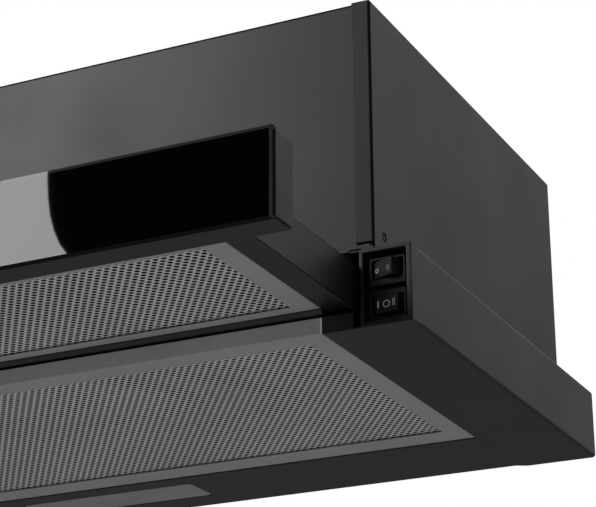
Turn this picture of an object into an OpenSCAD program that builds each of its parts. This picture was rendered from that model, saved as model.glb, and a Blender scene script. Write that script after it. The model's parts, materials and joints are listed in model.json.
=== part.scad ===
// Pull-out range hood: a slim base with a sliding visor drawer, an upper housing
// that holds the blower, and a round outlet with a non-return flap on top.
// Frame: X along the width, +Y towards the wall, +Z up. The origin is in the middle of
// the floor area that the hood covers with its drawer pulled out.

/* [Base] */
// Width of the base and of the drawer front
base_w = 598; // [540:1:900]
// Depth of the base, from its front edge to the wall
base_d = 272; // [250:1:320]
// Height of the base
base_h = 40; // [38:0.5:46]
// Thickness of the painted steel sheet
sheet = 0.8; // [0.6:0.05:1]
// Bend radius of the sheet's outer edges, on the middle of the sheet
bend_r = 1.6; // [1:0.1:2.4]
// Height of the front lip beside the main filter
lip_h = 8.8; // [8:0.1:10]
// Width of the underside beside the main filter's opening
side_margin = 47.5; // [46:0.5:60]
// Depth of the underside behind the main filter's opening
rear_margin = 68.5; // [64:0.5:90]
// How far the middle of the rear edge is set in
rear_relief = 3.5; // [1:0.5:6]
// Width of the notch between the rear edge's middle and its ends
rear_notch = 6; // [3:0.5:12]
// Depth of the ledge that carries the upper housing, measured inside its side wall
ledge_in = 12; // [10:0.5:14]

/* [Upper housing] */
// Height of the whole hood without the outlet
total_h = 177; // [165:1:220]
// How far each side of the upper housing stands inside the base's side
upper_inset = 20.5; // [19:0.5:30]
// How far the upper housing's front stands behind the base's front
upper_setback = 2; // [0.5:0.5:6]
// Width of the side panel's flange that shows on the front
strip_w = 9.5; // [6:0.5:14]
// Bend radius of that flange, on the middle of the sheet
strip_bend_r = 2.2; // [1.6:0.1:3]
// Height of that flange's lower end above the base
strip_lift = 4.8; // [2:0.2:12]
// Width of the hidden flanges
flange_w = 12; // [8:0.5:14]
// Depth of the front panel's returns along the side panels
front_return = 18; // [17:0.5:24]
// Gap between neighbouring sheets
sheet_gap = 0.3; // [0.2:0.05:0.5]

/* [Drawer] */
// Travel of the drawer
drawer_travel = 127; // [90:1:140]
// Gap between the drawer front and the base when closed
close_gap = 1.5; // [1:0.1:2.5]
// Thickness of the drawer front
front_t = 18; // [14:0.5:24]
// Wall of the drawer front's hollow section
front_wall = 1.4; // [1:0.1:2]
// Thickness of the glass on the drawer front
glass_t = 3; // [2:0.1:4]
// Height of the drawer front's lip over the glass
glass_lip = 1.9; // [1.5:0.1:4]
// Gap round the glass and beside the end caps
glass_gap = 0.5; // [0.2:0.05:0.8]
// Visible width of the frame beside the glass
glass_side = 1.6; // [1:0.1:4]
// Thickness of an end cap's plate
cap_t = 0.9; // [0.6:0.1:2]
// Length of an end cap's plug
plug_l = 8; // [5:0.5:15]
// Gap between the base's front lip and the drawer box over it
drawer_lift = 0.8; // [0.7:0.1:1.4]
// Gap between the drawer box and the front beam over it
drawer_head = 1.2; // [0.6:0.1:2]
// Gap between the drawer box and the switch housing
drawer_side = 1.8; // [1:0.1:6]
// Height of the drawer's floor strips and of its filter above its underside
floor_rise = 2.4; // [2:0.1:3.4]
// Width of the drawer's floor strip beside its filter
drawer_strip = 16.5; // [14:0.5:24]
// Width of the flange along the top of a drawer arm
arm_flange = 10; // [6:0.5:12]
// How far the drawer's top plate reaches into the base when open
cover_reach = 26; // [20:1:30]
// Radius of the rounded bar at the rear of the drawer filter
bar_r = 2.8; // [2.2:0.1:3]

/* [Slides] */
// Height of a slide's outer rail
rail_h = 17; // [15:0.5:18]
// Depth of a slide from the drawer's arm to the bracket
rail_w = 10; // [9.5:0.5:11]
// Thickness of the rails
rail_t = 1.2; // [1:0.1:1.4]
// Height of the outer rail's lips beside the balls
rail_lip = 1.6; // [1:0.1:1.8]
// Diameter of the slide's balls
ball_d = 2.6; // [2.4:0.1:3]
// Pitch of the balls in their cage
ball_pitch = 7; // [5:0.5:9]
// Thickness of the ball cage
cage_t = 0.5; // [0.4:0.1:0.8]
// Gap between the switch housing and the outer rails behind it
rail_front_gap = 6; // [5:1:20]
// Gap between the outer rails' rear end and the wall
rail_rear_gap = 6; // [4:1:20]

/* [Filters] */
// Height of the main filter's underside above the hood's underside
main_filter_z = 0.6; // [0.3:0.1:0.8]
// Gap between the main filter and the catch rail over it
filter_head = 0.2; // [0.1:0.05:0.6]
// Thickness of the drawer filter
drawer_filter_t = 8.8; // [7.6:0.2:10]
// Width of a filter frame's visible side bands
band_w = 12.6; // [11:0.2:18]
// Width of the main filter's front band
front_band_w = 14.4; // [14:0.2:18]
// Width of the main filter's rear band
rear_band_w = 17; // [12:0.5:20]
// Width of the drawer filter's front band
drawer_band_w = 18.4; // [17:0.2:22]
// Width of a filter frame's hidden upper band
top_band_w = 9; // [7:0.5:10]
// Wall of a filter frame
frame_wall = 0.8; // [0.6:0.1:1]
// Height of the perforated sheet above the frame's underside
mesh_recess = 1.6; // [1.3:0.1:1.8]
// Thickness of a perforated sheet
mesh_t = 0.5; // [0.3:0.05:0.6]
// Pitch of the perforation, drawn coarser than the real 4.1 mm one
hole_pitch = 15; // [14:1:30]
// Diameter of a hole at that pitch
hole_d = 9.4; // [6:0.2:12]
// Gap between a filter and its opening
filter_gap = 0.5; // [0.3:0.05:1]
// Pitch of the filter core's folds
fold_pitch = 9; // [7:0.5:14]
// Thickness of the filter core's foil
foil_t = 0.4; // [0.3:0.05:0.6]
// Width of a latch's slider
latch_w = 40; // [30:1:60]
// Thickness of a latch's finger plate
latch_t = 1; // [0.8:0.1:1.2]
// Travel of a latch
latch_travel = 3; // [2:0.5:3]

/* [Controls] */
// Depth of the switch housing
control_d = 36; // [30:1:38]
// How far the switch plate lies behind the base's front
control_recess = 4.4; // [3.4:0.1:6]
// Width of the rim round the switch plate
control_rim = 2; // [1:0.1:2.4]
// Width of the rim on the side of the base's wall
control_strip = 2.6; // [2.2:0.1:4]
// Height of the rim under the switch plate
control_foot = 3.4; // [3:0.1:4]
// Wall of the switch housing
control_wall = 1.5; // [1.2:0.1:2]
// Width of a rocker switch's bezel
bezel_w = 21; // [19:0.1:24]
// Thickness of the bezel
bezel_t = 1.6; // [1:0.1:2]
// Gap beside a bezel on the switch plate
bezel_side = 0.9; // [0.3:0.1:2]
// Gap between the lower bezel and the rim under it
bezel_foot = 0.7; // [0.3:0.1:1]
// Width of the bezel beside its rocker
bezel_edge = 3.2; // [2.8:0.1:4]
// Height of the bezel over and under its rocker
bezel_brow = 2.3; // [2:0.1:3]
// Height of the bar between the two switches
switch_bar = 2.2; // [1.6:0.1:3]
// Gap between that bar and the switches
switch_bar_gap = 0.4; // [0.2:0.1:0.6]
// Tilt of a rocker to either side
rocker_tilt = 11; // [8:0.5:12]
// Depth of a switch body behind its bezel
switch_body_d = 14; // [12:0.5:18]

/* [Outlet] */
// Outer diameter of the outlet spigot
spigot_d = 119; // [100:1:130]
// Height of the spigot above the top panel
spigot_h = 30; // [26:1:40]
// Wall of the spigot
spigot_wall = 2; // [1.5:0.1:3]
// Width of the collar's foot flange round the spigot
collar_flange = 11; // [8:0.5:16]
// Distance from the upper housing's front to the outlet's centre
outlet_y = 158; // [145:1:170]
// Diameter of the flaps' hinge pin
flap_pin_d = 3; // [2:0.5:4]
// Height of that pin above the top panel
flap_pin_h = 12; // [10:0.5:16]
// Thickness of a flap
flap_t = 1.2; // [1:0.1:2]
// Width of a flap's hinge knuckle with the gap beside it
knuckle_w = 12; // [8:0.5:12.5]

/* [Blower] */
// Height of the room over the scroll's smallest circle
scroll_head = 17.8; // [17.8:0.2:30]
// Height of the room under the scroll's smallest circle
scroll_foot = 17.6; // [17.6:0.2:30]
// Growth of the scroll's radius over a full turn
scroll_grow = 14; // [12:0.5:15]
// Inner width of the scroll
scroll_w = 92; // [80:1:100]
// Wall of the scroll
scroll_wall = 2; // [1.5:0.1:2.5]
// Gap between the impeller and the scroll's smallest circle
impeller_gap = 4; // [3:0.5:8]
// Gap between the impeller's ends and the scroll's sides
impeller_side = 4; // [2:0.5:8]
// Depth of the impeller's blades
blade_d = 8.5; // [7:0.5:11]
// Number of impeller blades
blades = 32; // [24:1:40]
// Diameter of the motor
motor_d = 78; // [60:1:84]
// Length of the motor
motor_l = 52; // [40:1:70]
// Gap between the motor and the scroll, bridged by its feet
motor_gap = 3; // [2:0.5:6]
// Diameter of the motor shaft
shaft_d = 6; // [5:0.5:8]
// Diameter of the motor capacitor
capacitor_d = 30; // [25:1:40]
// Length of the motor capacitor
capacitor_l = 58; // [45:1:80]

/* [Lamp] */
// Length of the lamp lens's opening
lens_l = 120; // [80:1:240]
// Width of the lamp lens's opening
lens_w = 30; // [24:0.5:34]
// Distance from the main filter's opening to the lens opening
lens_gap_y = 14; // [8:0.5:16]
// Height of the lamp box
lamp_h = 18; // [14:0.5:24]

/* [Fixing] */
// Diameter of the holes that take the shelf screws
screw_hole_d = 5; // [4:0.1:6]
// Distance from a shelf screw to the upper housing's side
screw_inset_x = 28.5; // [20:0.5:60]
// Distance from a shelf screw to the upper housing's front or back
screw_inset_y = 55; // [30:1:90]
// Diameter of the mains gland's hole
gland_d = 16; // [12:0.5:20]
// Bore of the mains gland
gland_bore = 8; // [6:0.5:10]
// Distance from the gland to the upper housing's side
gland_inset_x = 70; // [60:1:120]
// Distance from the gland to the wall
gland_inset_y = 50; // [30:1:60]
// Width of the terminal box
terminal_w = 70; // [50:1:100]
// Height and depth of the terminal box
terminal_h = 40; // [30:1:50]
// Gap between the terminal box and the top panel, for the gland's nut and the wires
terminal_drop = 35; // [20:1:60]

/* [Hidden] */
$fn = 48;

// Overshoot of a cutting shape, so that no cut ends on a face
over = 1;
// Gap between parts that fit into each other
close_fit = 0.1;

half_base = base_w / 2;
half_upper = half_base - upper_inset;
bend_out = bend_r + sheet / 2;
rest_front = close_gap + drawer_travel + front_t;
wall_y = (base_d + rest_front) / 2;
base_y = wall_y - base_d;
ledge_x = half_upper - ledge_in;
rear_mid_y = base_d - rear_relief;
half_open = half_base - side_margin;
open_d = base_d - rear_margin;
half_main = half_open - filter_gap;
main_filter_d = open_d - filter_gap;

// Upper housing: the top panel lies under the side panels' flanges and on the front and back panels' flanges
plate_top = total_h - sheet;
top_z = plate_top - sheet;
corner = strip_bend_r + sheet / 2;
front_x = half_upper - sheet;
panel_y = upper_setback + sheet;
panel_face = panel_y + close_fit;
outlet_at = upper_setback + outlet_y;
spigot_bore = spigot_d - 2 * spigot_wall;
screw_x = half_upper - screw_inset_x;
screw_y = [upper_setback + screw_inset_y, base_d - screw_inset_y];
rivet_y = upper_setback + 13.3;
rivet_z = base_h + 11.2;
rivet_r = 2.2;
rivet_l = 3;
bend_relief = 1;
gland_x = -half_upper + gland_inset_x;
gland_y = base_d - gland_inset_y;
gland_head = 5;
gland_dome = 9;
gland_sleeve = 8;
terminal_wall = 2;

// Switches
control_w = control_rim + 2 * bezel_side + bezel_w + control_strip;
control_x1 = half_base - sheet;
control_x0 = control_x1 - control_w;
control_x = (control_x0 + control_rim + control_x1 - control_strip) / 2;
control_top = base_h - sheet - close_fit;
plate_t = 1.6;
plate_y = control_recess;
switch_room = control_top - control_rim - control_foot - bezel_foot - switch_bar - 2 * switch_bar_gap;
bezel_h = switch_room / 2;
fan_switch_z = control_foot + bezel_foot + bezel_h / 2;
light_switch_z = control_top - control_rim - bezel_h / 2;
bar_z0 = fan_switch_z + bezel_h / 2 + switch_bar_gap;
bar_z1 = bar_z0 + switch_bar;
rocker_w = bezel_w - 2 * bezel_edge;
rocker_h = bezel_h - 2 * bezel_brow;
rocker_centre = 3.5;
rocker_pin_d = 2;
pivot_depth = 3.4;
pivot_y = plate_y - bezel_t + pivot_depth;
snap_edge = 1.2;
switch_body_w = bezel_w - 2 * snap_edge;
switch_body_h = bezel_h - 2 * snap_edge + 0.2;
window_gap = 0.3;

// Lip, catch rail and main filter
half_drawer = control_x0 - drawer_side;
lip_end = half_drawer - 1;
catch_z = lip_h - sheet;
catch_t = 0.8;
catch_y0 = 1.2;
catch_y1 = 13;
main_filter_t = catch_z - catch_t - filter_head - main_filter_z;
main_top = main_filter_z + main_filter_t;
sheet_low = main_filter_z + mesh_recess;
sheet_high = main_top - frame_wall - mesh_t;

// Front beam between the two ledges
beam_h = 4.6;
beam_z = base_h - sheet - beam_h;
beam_x = control_x0 - sheet_gap;

// Drawer
drawer_z = lip_h + drawer_lift;
drawer_top = beam_z - drawer_head;
drawer_front_y = -(close_gap + drawer_travel);
front_y = drawer_front_y - front_t;
floor_z = drawer_z + floor_rise;
strip_x = half_drawer - drawer_strip;
drawer_filter_w = 2 * (strip_x - filter_gap);
half_front = half_base - cap_t;
glass_x = half_front - glass_gap - glass_side - glass_gap;
strip_upstand = 7;
front_hem = 10;
filter_front_y = drawer_front_y + sheet + front_hem + filter_gap;
bar_y = -0.6;
filter_rear_y = bar_y - bar_r - sheet_gap;

// Slides
rail_front = control_d + rail_front_gap;
rail_end = base_d - rail_rear_gap;
arm_reach = rail_end - drawer_travel;
slide_z = (drawer_z + drawer_top) / 2 - 0.5;
rail_x = half_drawer + rail_w;
inner_l = arm_reach - rail_front;
ball_clear = 0.3;
inner_h = rail_h - 2 * rail_t - 2 * ball_d - 4 * ball_clear;
ball_x = half_drawer + rail_w / 2 + 0.4;
ball_z = rail_h / 2 - rail_t - ball_clear - ball_d / 2;
cage_l = inner_l - drawer_travel / 2;
cage_y0 = arm_reach - cage_l;
cage_x = ball_x + ball_d / 2 - 0.4;
cage_hole_r = sqrt(pow(ball_d / 2, 2) - pow(ball_d / 2 - 0.4, 2)) + close_fit;

// Blower
scroll_r = (top_z - base_h - scroll_head - scroll_foot) / 2;
blower_z = base_h + scroll_foot + scroll_r;
tongue_a = 75;
tongue_y = (scroll_r + scroll_grow * tongue_a / 360) * cos(tongue_a);
scroll_end_r = scroll_r + scroll_grow;
blower_y = outlet_at - (tongue_y + scroll_end_r) / 2;
throat_y0 = blower_y + tongue_y;
throat_y1 = blower_y + scroll_end_r;
throat_lip = 12;
scroll_x = scroll_w / 2 + scroll_wall;
lug_a = [110, 170, 230, 290, 340];
lug_r = 5;
lug_l = 4;
lug_out = 3.6;
screw_r = 1.5;
impeller_d = 2 * (scroll_r - impeller_gap);
impeller_l = scroll_w - 2 * impeller_side;
inlet_r = impeller_d / 2 - blade_d + 1.5;
ring_wall = 1.6;
ring_reach = 6;
ring_flange = 10;
motor_face = scroll_x + motor_gap;
motor_foot_r = motor_d / 2 - 8;
motor_boss_r = 11.7;
motor_rib = 2;
motor_bell = 6;
hub_r = 9;
hub_l = 22;
shaft_seat = 20;
shaft_clear = 0.05;
capacitor_x = -130;
capacitor_y = base_d - sheet - sheet_gap - capacitor_d / 2;
capacitor_z = base_h + 8;
strap_h = 14;

// Outlet flaps
pin_z = plate_top + flap_pin_h;
collar_t = 2;
flap_stop = 4;
flap_gap = 0.3;
flap_drop = 0.4;
knuckle_r = flap_pin_d / 2 + 1.2;
flap_r = spigot_bore / 2 - 0.6;

// Lamp
lens_y0 = open_d + lens_gap_y;
lens_y1 = lens_y0 + lens_w;
lens_gap = 0.5;
lens_t = 3;
lens_rim = 3;
lamp_wall = 1.5;
lamp_gap = 0.3;
board_t = 1.6;

black_paint = "#2c2c2c";
dark_plastic = "#181818";
filter_grey = "#6c6c6c";
mesh_grey = "#808080";
zinc = "#a8acb0";
cream_plastic = "#d8d4c8";

// Child shapes drawn from the base's front edge backwards
module in_base() translate([0, base_y, 0]) children();

// Block between two corners
module slab(x0, x1, y0, y1, z0, z1) translate([x0, y0, z0]) cube([x1 - x0, y1 - y0, z1 - z0]);

// A shape and its mirror image on the other side
module both() {
    children();
    mirror([1, 0, 0]) children();
}

// An outline of X and Z, drawn out along Y
module along_y(y0, y1) translate([0, y1, 0]) rotate([90, 0, 0]) linear_extrude(y1 - y0) children();

// An outline of Y and Z, drawn out along X
module along_x(x0, x1) translate([x0, 0, 0]) rotate([90, 0, 90]) linear_extrude(x1 - x0) children();

// A cylinder along X or Y through a point
module rod_x(x0, x1, y, z, r) translate([x0, y, z]) rotate([0, 90, 0]) cylinder(h = x1 - x0, r = r);
module rod_y(y0, y1, x, z, r) translate([x, y0, z]) rotate([-90, 0, 0]) cylinder(h = y1 - y0, r = r);

// One quarter of a bend in the sheet, by its mid radius and quadrant
module bend_2d(r, quadrant) rotate(90 * quadrant) intersection() {
    difference() {
        circle(r + sheet / 2);
        circle(r - sheet / 2);
    }
    square(r + sheet);
}

// A rounded rectangle between two corners
module round_rect(x0, x1, y0, y1, r) {
    translate([x0 + r, y0]) square([x1 - x0 - 2 * r, y1 - y0]);
    translate([x0, y0 + r]) square([x1 - x0, y1 - y0 - 2 * r]);
    for (x = [x0 + r, x1 - r], y = [y0 + r, y1 - r]) translate([x, y]) circle(r);
}

// ---- Base ----

// Right half of the base's section: floor, side wall and ledge
module base_section() {
    square([half_base - bend_out, sheet]);
    translate([half_base - bend_out, bend_out]) bend_2d(bend_r, 3);
    translate([half_base - sheet, bend_out]) square([sheet, base_h - 2 * bend_out]);
    translate([half_base - bend_out, base_h - bend_out]) bend_2d(bend_r, 0);
    translate([ledge_x, base_h - sheet]) square([half_base - bend_out - ledge_x, sheet]);
}

// Plan of the right half of the rear wall, with its notch
module rear_wall_plan() polygon([
    [0, rear_mid_y - sheet], [half_main, rear_mid_y - sheet],
    [half_main + rear_notch, base_d - sheet], [half_base - bend_out, base_d - sheet],
    [half_base - bend_out, base_d], [half_main + rear_notch, base_d],
    [half_main, rear_mid_y], [0, rear_mid_y]
]);

module base_pan() color(black_paint) in_base() {
    difference() {
        both() along_y(0, base_d) base_section();
        slab(-half_open, half_open, -over, open_d, -over, sheet + over);
        translate([0, 0, -over]) linear_extrude(sheet + 2 * over)
            round_rect(-lens_l / 2, lens_l / 2, lens_y0, lens_y1, 3);
        both() translate([0, 0, -over]) linear_extrude(sheet + 2 * over) polygon([
            [-over, rear_mid_y], [half_main, rear_mid_y], [half_main + rear_notch, base_d],
            [half_main + rear_notch, base_d + over], [-over, base_d + over]
        ]);
    }
    both() linear_extrude(base_h) rear_wall_plan();
    slab(-ledge_x, ledge_x, rear_mid_y - flange_w, rear_mid_y, base_h - sheet, base_h);
    both() {
        slab(half_open, lip_end, 0, sheet, 0, lip_h);
        slab(half_open, lip_end, 0, catch_y1, catch_z, lip_h);
        slab(half_open, half_open + sheet, 0, open_d, 0, catch_z - catch_t);
    }
}

// Channel that carries the front panel's foot between the two ledges
module front_beam() color(black_paint) in_base() {
    slab(-beam_x, beam_x, panel_y, panel_y + flange_w, base_h - 2 * sheet, base_h - sheet);
    for (y = [panel_y, panel_y + flange_w - sheet])
        slab(-ledge_x, ledge_x, y, y + sheet, beam_z, base_h - sheet);
}

// Strip behind the main filter's riser, which its latch hooks over
module main_filter_catch_rail() color(black_paint) in_base()
    slab(-lip_end, lip_end, catch_y0, catch_y1, catch_z - catch_t, catch_z);

// ---- Upper housing ----

// Plan of the right side panel's front: rounded corner, front flange and the start of the web
module side_front_plan() {
    translate([half_upper - sheet, upper_setback + corner]) square([sheet, bend_relief]);
    translate([half_upper - corner, upper_setback + corner]) bend_2d(strip_bend_r, 3);
    translate([half_upper - strip_w, upper_setback]) square([strip_w - corner, sheet]);
}

// Section of the right side panel behind that: web, upper bend and top flange
module side_section() {
    translate([half_upper - sheet, base_h]) square([sheet, total_h - bend_out - base_h]);
    translate([half_upper - bend_out, total_h - bend_out]) bend_2d(bend_r, 0);
    translate([half_upper - flange_w, plate_top]) square([flange_w - bend_out, sheet]);
}

module side_panel() in_base() difference() {
    union() {
        translate([0, 0, base_h]) linear_extrude(total_h - base_h) side_front_plan();
        along_y(upper_setback + corner + bend_relief, base_d) side_section();
        slab(half_upper - flange_w, front_x, base_d - 2 * sheet - sheet_gap, base_d - sheet - sheet_gap,
             base_h, top_z - sheet - sheet_gap);
        slab(ledge_x, front_x, upper_setback + front_return + sheet_gap, base_d - 2 * sheet,
             base_h, base_h + sheet);
    }
    slab(ledge_x - over, half_upper + over, 0, upper_setback + corner, base_h - over, base_h + strip_lift);
    rod_x(half_upper - flange_w / 2, half_upper + over, rivet_y, rivet_z, rivet_r + close_fit);
}

module upper_side_right() color(black_paint) side_panel();
module upper_side_left() color(black_paint) mirror([1, 0, 0]) side_panel();

// Plan of the right half of the front panel: face, bend inside the side panel's corner, and return
module front_plan() {
    face_r = strip_bend_r - sheet - close_fit;
    return_x = front_x - close_fit;
    translate([0, panel_face]) square([half_upper - corner, sheet]);
    translate([half_upper - corner, upper_setback + corner]) bend_2d(face_r, 3);
    translate([return_x - sheet, upper_setback + corner]) square([sheet, front_return - corner]);
}

// Front panel behind the side flanges, with side returns, a foot on the front beam and a flange under the top
module upper_front_panel() color(black_paint) in_base() difference() {
    return_end = upper_setback + front_return + over;
    union() {
        both() translate([0, 0, base_h - sheet]) linear_extrude(top_z - base_h + sheet) front_plan();
        for (z = [base_h, top_z]) slab(-ledge_x, ledge_x, panel_face, panel_y + flange_w, z - sheet, z);
    }
    both() slab(ledge_x - sheet_gap, half_upper, 0, return_end, base_h - 2 * sheet, base_h);
    both() slab(half_upper - corner, half_upper, upper_setback + corner, return_end,
                total_h - bend_out - close_fit, total_h);
    both() rod_x(front_x - flange_w / 2, front_x + over, rivet_y, rivet_z, rivet_r + close_fit);
}

// Back panel with a foot on the base and a flange under the top panel
module upper_back_panel() color(black_paint) in_base() {
    slab(-front_x + close_fit, front_x - close_fit, base_d - sheet, base_d, base_h, top_z);
    for (z = [base_h + sheet, top_z]) slab(-ledge_x, ledge_x, base_d - flange_w, base_d, z - sheet, z);
}

// Flat top panel with the holes for the outlet, the mains gland and the shelf screws
module upper_top_panel() color(black_paint) in_base() translate([0, 0, top_z]) linear_extrude(sheet) difference() {
    panel_x = half_upper - bend_out - sheet_gap;
    translate([-panel_x, panel_face + sheet]) square([2 * panel_x, base_d - panel_face - sheet]);
    translate([0, outlet_at]) circle(d = spigot_bore, $fn = 96);
    translate([gland_x, gland_y]) circle(d = gland_d);
    for (x = [-screw_x, screw_x], y = screw_y) translate([x, y]) circle(d = screw_hole_d);
}

// ---- Controls ----

// Moulded box beside the drawer: rim, recessed plate and four walls
module control_box() {
    wall = control_wall;
    difference() {
        slab(control_x0, control_x1, 0.3, control_d, sheet, control_top);
        slab(control_x0 + control_rim, control_x1 - control_strip, -over, plate_y,
             control_foot, control_top - control_rim);
        slab(control_x0 + wall, control_x1 - wall, plate_y + plate_t, control_d + over,
             sheet + wall, control_top - wall);
        along_y(-over, control_d + over) for (z = [sheet, control_top]) translate([control_x1, z]) rotate(45)
            square(2 * bend_r, center = true);
        children();
    }
}

// Opening for a switch body in the plate
module switch_hole(z) slab(control_x - switch_body_w / 2 - 0.1, control_x + switch_body_w / 2 + 0.1,
    plate_y - over, plate_y + plate_t + over, z - switch_body_h / 2 - 0.1, z + switch_body_h / 2 + 0.1);

module switch_housing() color(dark_plastic) in_base() {
    control_box() {
        switch_hole(fan_switch_z);
        switch_hole(light_switch_z);
    }
    slab(control_x0 + control_rim, control_x1 - control_strip, 1.6, plate_y, bar_z0, bar_z1);
}

module left_blank_cover() color(dark_plastic) mirror([1, 0, 0]) in_base() control_box();

// Rocker switch body: bezel, snap-in body with the rocker's well, and terminals
module switch_body(z) in_base() translate([control_x, plate_y, z]) {
    half_w = rocker_w / 2 + window_gap;
    half_h = rocker_h / 2 + window_gap;
    difference() {
        union() {
            slab(-bezel_w / 2, bezel_w / 2, -bezel_t, 0, -bezel_h / 2, bezel_h / 2);
            slab(-switch_body_w / 2, switch_body_w / 2, 0, switch_body_d,
                 -switch_body_h / 2, switch_body_h / 2);
        }
        slab(-half_w, half_w, -bezel_t - over, pivot_depth - bezel_t + rocker_w / 2 + window_gap,
             -half_h, half_h);
        translate([0, pivot_depth - bezel_t, -switch_body_h / 2 - over])
            cylinder(h = switch_body_h + 2 * over, d = rocker_pin_d + 0.3, $fn = 24);
    }
    for (x = [-6.4, 0, 6.4]) slab(x - 0.4, x + 0.4, switch_body_d, switch_body_d + 7, -2.4, 2.4);
}

// Rocker about its pin at the origin: round ends and a face that falls towards the middle
module rocker(z, tilt) in_base() translate([control_x, pivot_y, z]) rotate([0, 0, tilt]) {
    rise = rocker_w / 2 * tan(rocker_tilt);
    translate([0, 0, -rocker_h / 2]) linear_extrude(rocker_h) intersection() {
        circle(rocker_w / 2, $fn = 64);
        polygon([
            [-rocker_w / 2, rocker_w / 4], [-rocker_w / 2, -rocker_centre - rise], [0, -rocker_centre],
            [rocker_w / 2, -rocker_centre - rise], [rocker_w / 2, rocker_w / 4]
        ]);
    }
    translate([0, 0, -switch_body_h / 2]) cylinder(h = switch_body_h, d = rocker_pin_d, $fn = 24);
}

module light_switch_body() color(dark_plastic) switch_body(light_switch_z);
module fan_switch_body() color(dark_plastic) switch_body(fan_switch_z);
module light_rocker() color(dark_plastic) rocker(light_switch_z, -rocker_tilt);
module fan_rocker() color(dark_plastic) rocker(fan_switch_z, 0);

// ---- Lamp ----

module lamp_lens() color("#e8e8e4") in_base() {
    translate([0, 0, 0.2]) linear_extrude(sheet + lens_t - 0.2) round_rect(
        -lens_l / 2 + lens_gap, lens_l / 2 - lens_gap, lens_y0 + lens_gap, lens_y1 - lens_gap, 3);
    slab(-lens_l / 2 - lens_rim, lens_l / 2 + lens_rim, lens_y0 - lens_rim, lens_y1 + lens_rim, sheet, sheet + 1.2);
}

// Lamp box over the lens, held by two snap arms
module lamp_housing() color(cream_plastic) in_base() {
    inset = lens_rim + lamp_gap;
    x = lens_l / 2 + inset + lamp_wall;
    difference() {
        slab(-x, x, lens_y0 - inset - lamp_wall, lens_y1 + inset + lamp_wall, sheet, sheet + lamp_h);
        slab(-x + lamp_wall, x - lamp_wall, lens_y0 - inset, lens_y1 + inset, sheet - over,
             sheet + lamp_h - lamp_wall);
    }
    both() slab(x, x + 12, lens_y0 + lens_w / 5, lens_y1 - lens_w / 5, sheet, sheet + 2);
}

module led_board() color("white") in_base() {
    board_z = sheet + lamp_h - lamp_wall - board_t;
    mid = (lens_y0 + lens_y1) / 2;
    pitch = lens_l / 5.5;
    slab(-lens_l / 2 - lens_rim, lens_l / 2 + lens_rim, lens_y0, lens_y1, board_z, board_z + board_t);
    for (i = [-2 : 2]) slab(i * pitch - 1.8, i * pitch + 1.8, mid - 1.5, mid + 1.5, board_z - 0.9, board_z);
}

// ---- Filters ----

// Frame of a filter between two corners: floor bands, outer walls and upper bands
module filter_frame(half_w, y0, y1, z0, t, bands) difference() {
    union() {
        slab(-half_w, half_w, y0, y1, z0, z0 + t);
        children();
    }
    slab(-half_w + frame_wall, half_w - frame_wall, y0 + frame_wall, y1 - frame_wall,
         z0 + frame_wall, z0 + t - frame_wall);
    slab(-half_w + bands[0], half_w - bands[0], y0 + bands[1], y1 - bands[2], z0 - over, z0 + 2 * frame_wall);
    slab(-half_w + top_band_w, half_w - top_band_w, y0 + top_band_w, y1 - top_band_w,
         z0 + t - 2 * frame_wall, z0 + t + over);
}

// Perforated sheet with staggered rows of holes
module perforated(half_w, y0, y1, z) {
    rows = floor((y1 - y0 - 2 * band_w) / (hole_pitch * sin(60)));
    cols = floor((half_w - band_w - hole_pitch / 2) / hole_pitch);
    mid = (y0 + y1) / 2;
    translate([0, 0, z]) linear_extrude(mesh_t) difference() {
        translate([-half_w, y0]) square([2 * half_w, y1 - y0]);
        for (j = [0 : rows - 1], i = [-cols : cols])
            translate([(i + (j % 2) / 2 - 0.25) * hole_pitch, mid + (j - (rows - 1) / 2) * hole_pitch * sin(60)])
                circle(d = hole_d);
    }
}

// Corrugated core of a grease filter, its folds running along the depth
module filter_core(half_w, y0, y1, z0, z1) along_y(y0, y1) {
    folds = floor(half_w / fold_pitch);
    top = [for (i = [-folds : folds]) each [
        [(i - 0.5) * fold_pitch, z0], [(i - 0.3) * fold_pitch, z0],
        [i * fold_pitch, z1 - foil_t], [(i + 0.2) * fold_pitch, z1 - foil_t]]];
    lifted = [for (i = [len(top) - 1 : -1 : 0]) top[i] + [0, foil_t]];
    polygon(concat(top, lifted));
}

stem_y = catch_y1 + sheet_gap;
latch_room_y = stem_y + latch_t + latch_travel + 0.4;
latch_room_x = latch_w / 2 + 0.5;
latch_lift = 0.2;
hook_t = 0.7;

// Sliding latch of the main filter: finger plate with its ridge, stem and hook, the hook's tip towards the front
module main_filter_latch() color(filter_grey) in_base() {
    plate_z = main_filter_z + frame_wall + latch_lift;
    hook_z = catch_z + sheet_gap;
    slab(-latch_w / 2, latch_w / 2, stem_y - 10.5, stem_y + latch_t, plate_z, plate_z + latch_t);
    slab(-latch_w / 3, latch_w / 3, stem_y - 6.5, stem_y - 5, main_filter_z + latch_lift, plate_z);
    slab(-latch_w / 4, latch_w / 4, stem_y, stem_y + latch_t, plate_z, hook_z + hook_t);
    slab(-latch_w / 4, latch_w / 4, stem_y - 2.5, stem_y + latch_t, hook_z, hook_z + hook_t);
}

module main_filter_frame() color(filter_grey) in_base() difference() {
    filter_frame(half_main, 0, main_filter_d, main_filter_z, main_filter_t, [band_w, front_band_w, rear_band_w])
        slab(-half_main, half_main, 0, frame_wall, main_filter_z, lip_h);
    slab(-latch_w / 3 - 2, latch_w / 3 + 2, 3.2, 12.2, main_filter_z - over, main_filter_z + 2 * frame_wall);
    slab(-latch_room_x, latch_room_x, stem_y - 1, latch_room_y, main_filter_z + frame_wall, main_top + over);
}

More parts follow.
